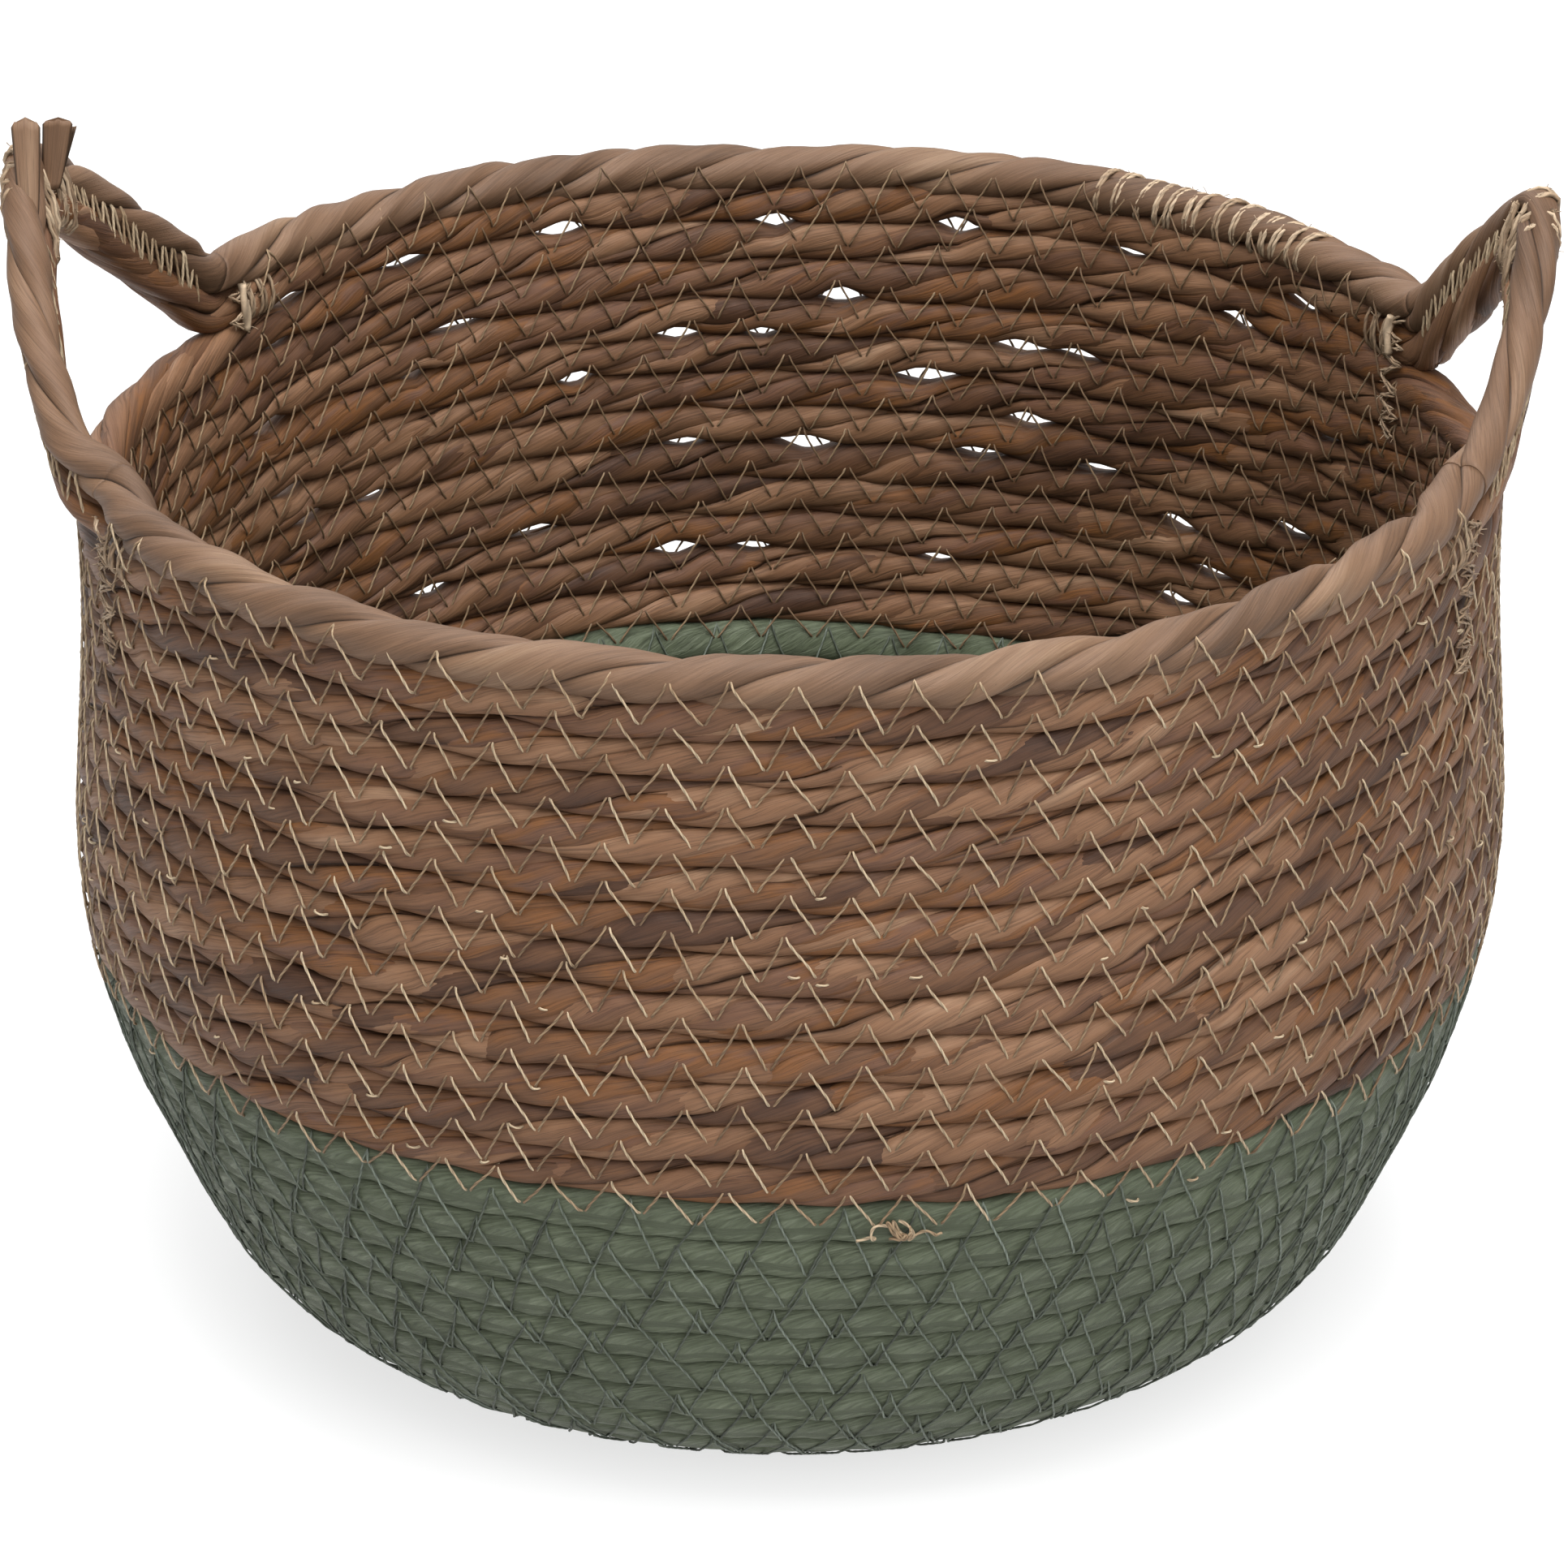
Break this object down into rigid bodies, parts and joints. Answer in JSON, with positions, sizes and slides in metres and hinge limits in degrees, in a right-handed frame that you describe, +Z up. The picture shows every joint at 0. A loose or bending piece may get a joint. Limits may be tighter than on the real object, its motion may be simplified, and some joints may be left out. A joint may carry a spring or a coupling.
{
  "type": "storage basket",
  "caption": "Round coiled-rope storage basket with a bellied wall, a twisted rim cord and two raised rope handles that flex at their roots.",
  "frame": {"origin": "middle of the flat base, on the floor", "axes": "+Z up, +X towards the right handle, -Y towards the front"},
  "size_m": [0.3222, 0.2984, 0.2553],
  "materials": {
    "paper_rope": "satin twisted paper, sage green",
    "seagrass_rope": "dry twisted seagrass leaf, mixed browns",
    "rim_cord": "smooth broad leaf, light tan",
    "jute_twine": "hairy jute twine",
    "stitch_thread": "two-ply sewing thread"
  },
  "bodies": {
    "basket": {"paper_centre": "paper_rope", "paper_turn_01": "paper_rope", "paper_turn_02": "paper_rope", "paper_turn_03": "paper_rope", "paper_turn_04": "paper_rope", "paper_turn_05": "paper_rope", "paper_turn_06": "paper_rope", "paper_turn_07": "paper_rope", "paper_turn_08": "paper_rope", "paper_turn_09": "paper_rope", "paper_turn_10": "paper_rope", "paper_turn_11": "paper_rope", "paper_turn_12": "paper_rope", "paper_turn_13": "paper_rope", "paper_turn_14": "paper_rope", "paper_turn_15": "paper_rope", "paper_turn_16": "paper_rope", "paper_turn_17": "paper_rope", "paper_turn_18": "paper_rope", "paper_turn_19": "paper_rope", "paper_turn_20": "paper_rope", "seagrass_turn_01_front": "seagrass_rope", "seagrass_turn_01_back": "seagrass_rope", "seagrass_turn_02": "seagrass_rope", "seagrass_turn_03": "seagrass_rope", "seagrass_turn_04": "seagrass_rope", "seagrass_turn_05": "seagrass_rope", "seagrass_turn_06": "seagrass_rope", "seagrass_turn_07": "seagrass_rope", "seagrass_turn_08": "seagrass_rope", "seagrass_turn_09": "seagrass_rope", "seagrass_turn_10": "seagrass_rope", "seagrass_turn_11": "seagrass_rope", "seagrass_turn_12": "seagrass_rope", "rim_cord_front": "rim_cord", "rim_cord_back": "rim_cord", "rim_whipping": "jute_twine", "left_front_lashing": "jute_twine", "left_back_lashing": "jute_twine", "right_front_lashing": "jute_twine", "right_back_lashing": "jute_twine"},
    "left_handle": {"left_handle_upper_cord": "rim_cord", "left_handle_lower_cord": "rim_cord", "left_handle_binding": "jute_twine", "left_handle_front_end": "rim_cord", "left_handle_back_end": "rim_cord"},
    "right_handle": {"right_handle_upper_cord": "rim_cord", "right_handle_lower_cord": "rim_cord", "right_handle_binding": "jute_twine"}
  },
  "joints": [
    {"name": "left_handle_flex", "type": "hinge", "parent": "basket", "child": "left_handle", "pos_m": [-0.13441, -0.05025, 0.19283], "axis": [0.0785, 0.9969, 0], "range_deg": [-15, 25], "stiffness_Nm_per_rad": 0.15},
    {"name": "right_handle_flex", "type": "hinge", "parent": "basket", "child": "right_handle", "pos_m": [0.13527, -0.0479, 0.19283], "axis": [0, -1, 0], "range_deg": [-15, 25], "stiffness_Nm_per_rad": 0.15}
  ]
}
